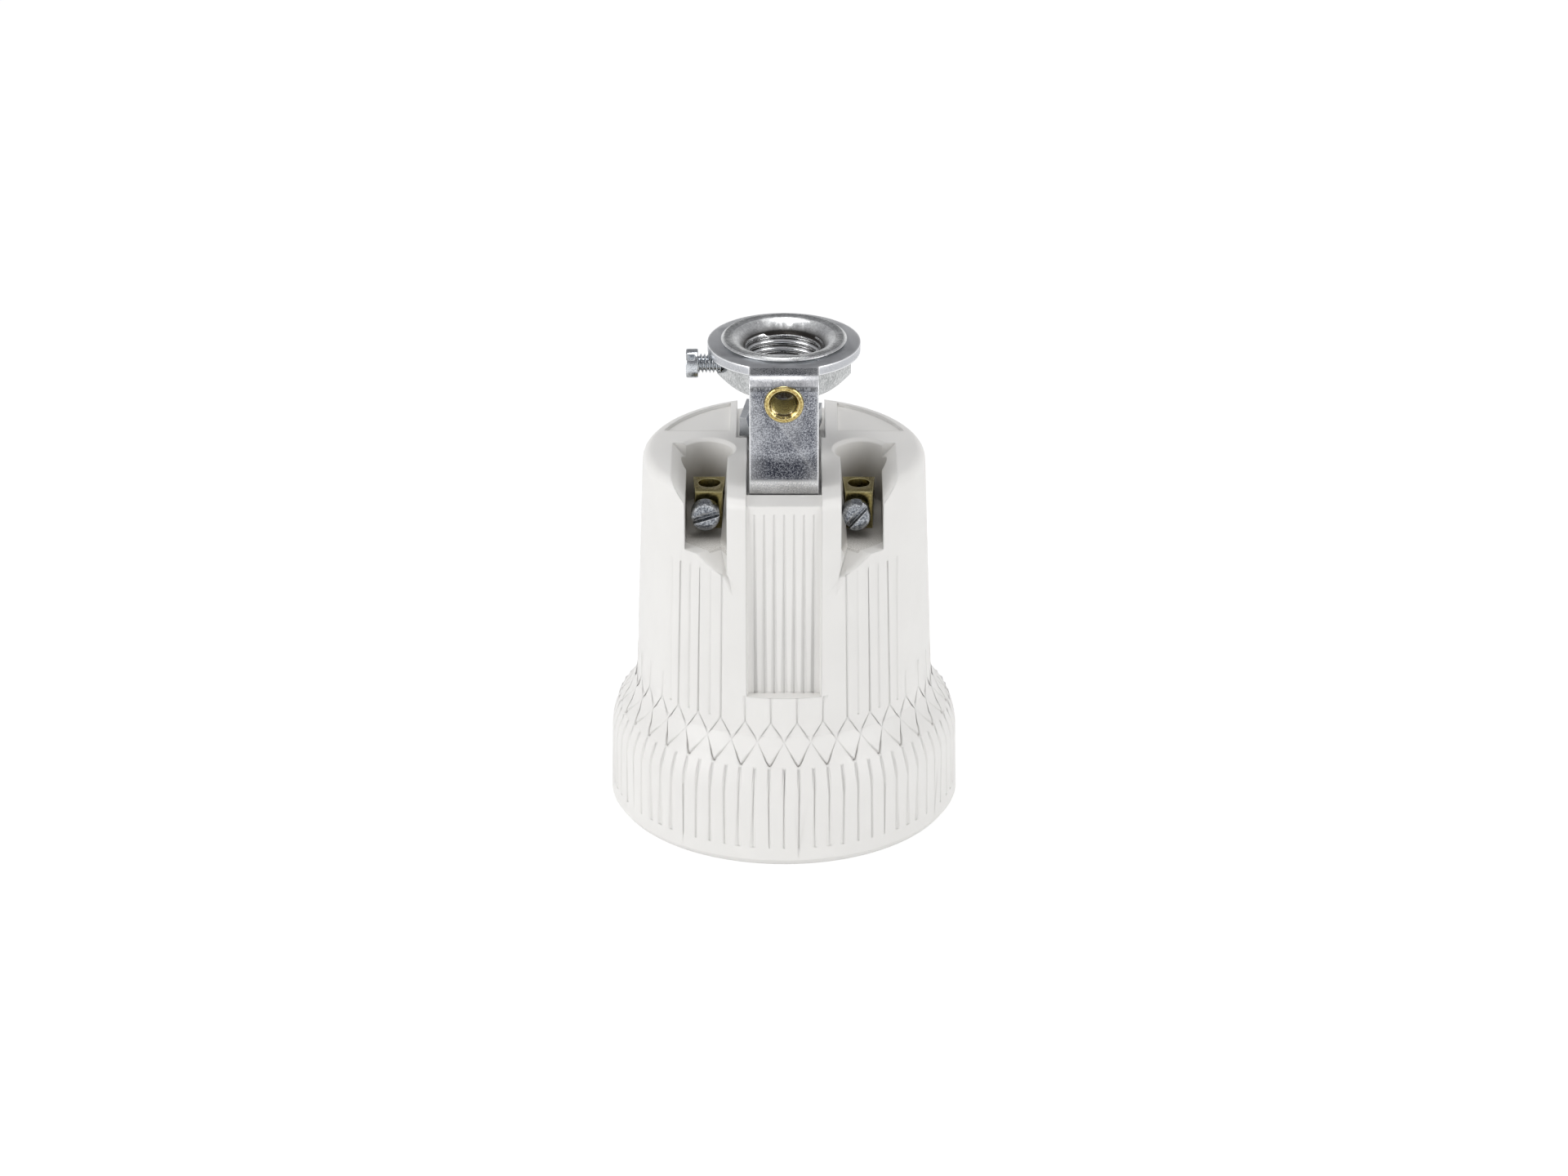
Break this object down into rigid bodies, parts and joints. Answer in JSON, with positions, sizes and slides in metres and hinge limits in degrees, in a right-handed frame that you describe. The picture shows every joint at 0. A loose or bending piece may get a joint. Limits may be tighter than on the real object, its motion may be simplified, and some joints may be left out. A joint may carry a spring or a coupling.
{
  "type": "lamp holder",
  "caption": "Porcelain screw lamp holder with open terminal windows, a steel strap bracket and a threaded cable-entry ring with a lock screw.",
  "frame": {"origin": "centre of the lamp mouth's rim, on the plane that the rim rests on", "axes": "+Z is the holder's axis from the lamp mouth to the entry ring, -Y is the front with the terminal windows, +X is to the right seen from the front"},
  "size_m": [0.045, 0.045, 0.0635],
  "materials": {
    "porcelain": "matt white glaze",
    "plated_strap": "zinc plated strip with fine grain",
    "plated_ring": "bright zinc plated",
    "plated_steel": "bluish zinc plated",
    "bush_brass": "turned, bright",
    "terminal_brass": "dull, as drawn",
    "contact_brass": "pressed, satin"
  },
  "bodies": {
    "holder": {"porcelain_body": "porcelain", "bracket_strap": "plated_strap", "bracket_ring": "plated_ring", "earth_bush": "bush_brass", "bracket_screw": "plated_steel", "bracket_washer": "plated_steel", "bracket_nut": "plated_steel", "terminal_block_left": "terminal_brass", "terminal_block_right": "terminal_brass", "block_screw_left": "contact_brass", "block_screw_right": "contact_brass", "screw_shell": "contact_brass"},
    "lock_screw": {"lock_screw": "plated_steel"},
    "clamp_left": {"terminal_screw_left": "plated_steel"},
    "clamp_right": {"terminal_screw_right": "plated_steel"},
    "earth_clamp": {"earth_screw": "plated_steel", "earth_saddle": "plated_steel"},
    "centre_contact": {"contact_leaf": "contact_brass", "contact_button": "contact_brass"}
  },
  "joints": [
    {"name": "lock_screw_slide", "type": "slide", "parent": "holder", "child": "lock_screw", "axis": [-1, 0, 0], "range_m": [-0.0022, 0.0025]},
    {"name": "clamp_left_slide", "type": "slide", "parent": "holder", "child": "clamp_left", "axis": [0, -1, 0], "range_m": [-0.0011, 0.0011]},
    {"name": "clamp_right_slide", "type": "slide", "parent": "holder", "child": "clamp_right", "axis": [0, -1, 0], "range_m": [-0.0011, 0.0011]},
    {"name": "earth_clamp_slide", "type": "slide", "parent": "holder", "child": "earth_clamp", "axis": [0, 0, 1], "range_m": [0, 0.0025]},
    {"name": "contact_flex", "type": "hinge", "parent": "holder", "child": "centre_contact", "pos_m": [-0.00945, 0, 0.0325], "axis": [0, -1, 0], "range_deg": [0, 6], "stiffness_Nm_per_rad": 0.05}
  ]
}
